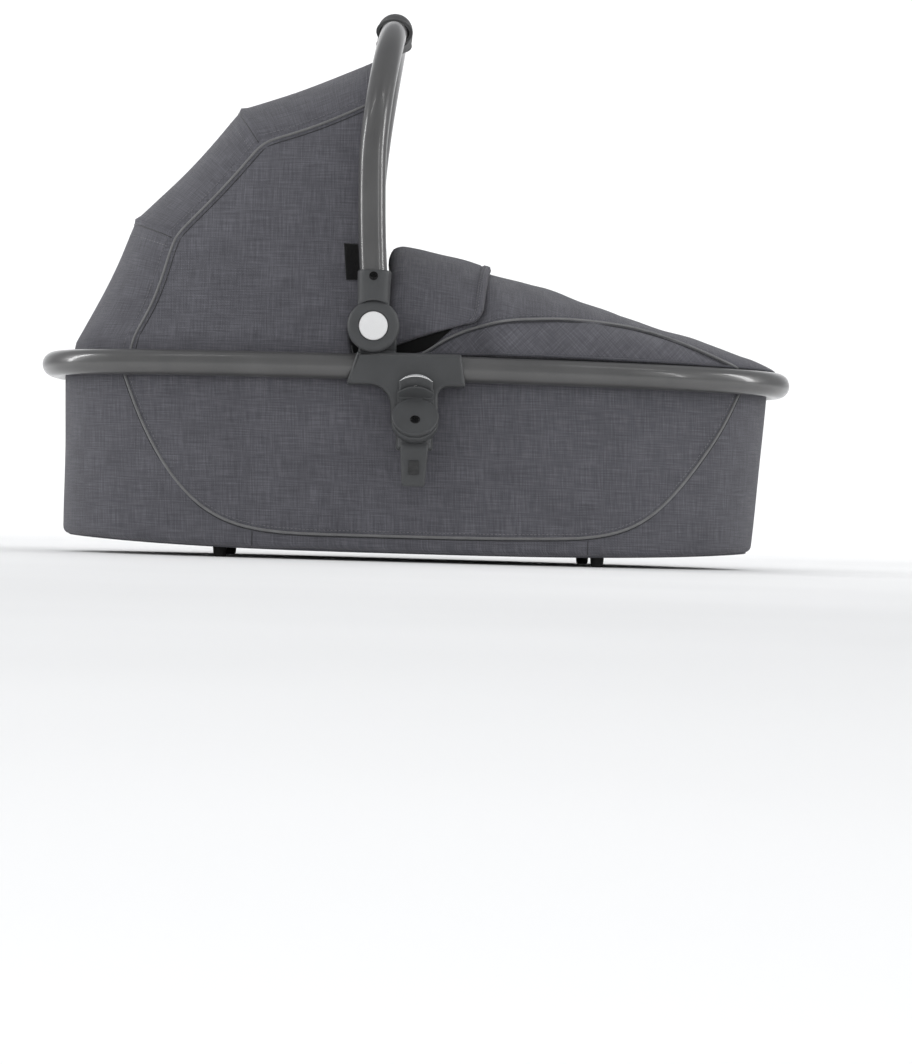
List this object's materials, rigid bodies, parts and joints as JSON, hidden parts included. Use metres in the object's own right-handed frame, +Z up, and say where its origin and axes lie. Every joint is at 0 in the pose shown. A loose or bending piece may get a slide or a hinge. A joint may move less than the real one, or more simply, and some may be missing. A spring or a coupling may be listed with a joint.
{
  "type": "carrycot",
  "caption": "Fabric carrycot on a bent-tube rim with a folding carrying handle, a folding hood, a domed apron with a flap, and side adapters that plug into a pushchair frame.",
  "frame": {"origin": "middle of the outline in plan, on the plane under the four feet", "axes": "+Z up, +X towards the foot end, the head end with the hood at -X, +Y towards the right side"},
  "size_m": [0.86, 0.4988, 0.626],
  "materials": {
    "tube": "dark graphite gloss, anodised",
    "plastic": "dark grey, fine texture",
    "button": "light grey, satin",
    "trim": "bright",
    "fabric": "mottled grey weave",
    "lining": "padded, plain weave",
    "mattress": "quilted cover",
    "label": "bare woven tab",
    "board": "hardboard",
    "rubber": "matt",
    "steel": "zinc plated",
    "black_steel": "black"
  },
  "bodies": {
    "cot": {"rim_tube_head": "tube", "rim_tube_foot": "tube", "body_cover": "fabric", "hood_canopy": "fabric", "inner_liner": "lining", "mattress": "mattress", "wall_stiffener": "plastic", "base_tray": "plastic", "base_board": "board", "foot_head_l": "rubber", "foot_head_r": "rubber", "foot_toe_l": "rubber", "foot_toe_r": "rubber", "side_bracket_l": "plastic", "side_bracket_r": "plastic", "pivot_bolt_l": "steel", "pivot_bolt_r": "steel", "pivot_nut_l": "steel", "pivot_nut_r": "steel", "detent_ring_l": "steel", "detent_ring_r": "steel", "adapter_core_l": "plastic", "adapter_core_r": "plastic", "adapter_cap_l": "plastic", "adapter_cap_r": "plastic", "adapter_screw_l": "black_steel", "adapter_screw_r": "black_steel", "release_spring_l": "steel", "release_spring_r": "steel"},
    "handle": {"handle_tube": "tube", "handle_grip": "plastic", "handle_hub_l": "plastic", "handle_hub_r": "plastic", "collar_screw_l": "black_steel", "collar_screw_r": "black_steel", "button_spring_l": "steel", "button_spring_r": "steel", "hood_tab": "label"},
    "button_l": {"hub_button_l": "button"},
    "button_r": {"hub_button_r": "button"},
    "rib_front": {"hood_rib_front": "black_steel"},
    "rib_rear": {"hood_rib_rear": "black_steel"},
    "release_l": {"release_button_l": "plastic", "release_trim_l": "trim"},
    "release_r": {"release_button_r": "plastic", "release_trim_r": "trim"},
    "latch_l": {"adapter_latch_l": "steel"},
    "latch_r": {"adapter_latch_r": "steel"},
    "cover": {"apron": "fabric", "wind_flap": "fabric"}
  },
  "joints": [
    {"name": "handle_fold", "type": "hinge", "parent": "cot", "child": "handle", "pos_m": [-0.052, 0, 0.2563], "axis": [0, -1, 0], "range_deg": [0, 80], "deforming": ["hood_canopy"]},
    {"name": "rib_front_fold", "type": "hinge", "parent": "cot", "child": "rib_front", "pos_m": [-0.052, 0, 0.2563], "axis": [0, -1, 0], "range_deg": [0, 53]},
    {"name": "rib_rear_fold", "type": "hinge", "parent": "cot", "child": "rib_rear", "pos_m": [-0.052, 0, 0.2563], "axis": [0, -1, 0], "range_deg": [0, 27]},
    {"name": "button_press_l", "type": "slide", "parent": "handle", "child": "button_l", "axis": [0, 1, 0], "range_m": [0, 0.004], "stiffness_N_per_m": 400, "springref_m": -0.004, "deforming": ["button_spring_l"]},
    {"name": "button_press_r", "type": "slide", "parent": "handle", "child": "button_r", "axis": [0, -1, 0], "range_m": [0, 0.004], "stiffness_N_per_m": 400, "springref_m": -0.004, "deforming": ["button_spring_r"]},
    {"name": "release_lift_l", "type": "slide", "parent": "cot", "child": "release_l", "axis": [0, 0, 1], "range_m": [0, 0.006], "stiffness_N_per_m": 300, "springref_m": -0.004, "deforming": ["release_spring_l"]},
    {"name": "release_lift_r", "type": "slide", "parent": "cot", "child": "release_r", "axis": [0, 0, 1], "range_m": [0, 0.006], "stiffness_N_per_m": 300, "springref_m": -0.004, "deforming": ["release_spring_r"]},
    {"name": "latch_draw_l", "type": "slide", "parent": "cot", "child": "latch_l", "axis": [0, 1, 0], "range_m": [0, 0.004]},
    {"name": "latch_draw_r", "type": "slide", "parent": "cot", "child": "latch_r", "axis": [0, -1, 0], "range_m": [0, 0.004]},
    {"name": "cover_lift", "type": "slide", "parent": "cot", "child": "cover", "axis": [0.6, 0, 0.8], "range_m": [0, 0.3]}
  ],
  "couplings": [
    {"joint": "rib_front_fold", "follows": "handle_fold", "ratio": 0.66},
    {"joint": "rib_rear_fold", "follows": "handle_fold", "ratio": 0.33},
    {"joint": "latch_draw_l", "follows": "release_lift_l", "ratio": 0.6667},
    {"joint": "latch_draw_r", "follows": "release_lift_r", "ratio": 0.6667}
  ]
}
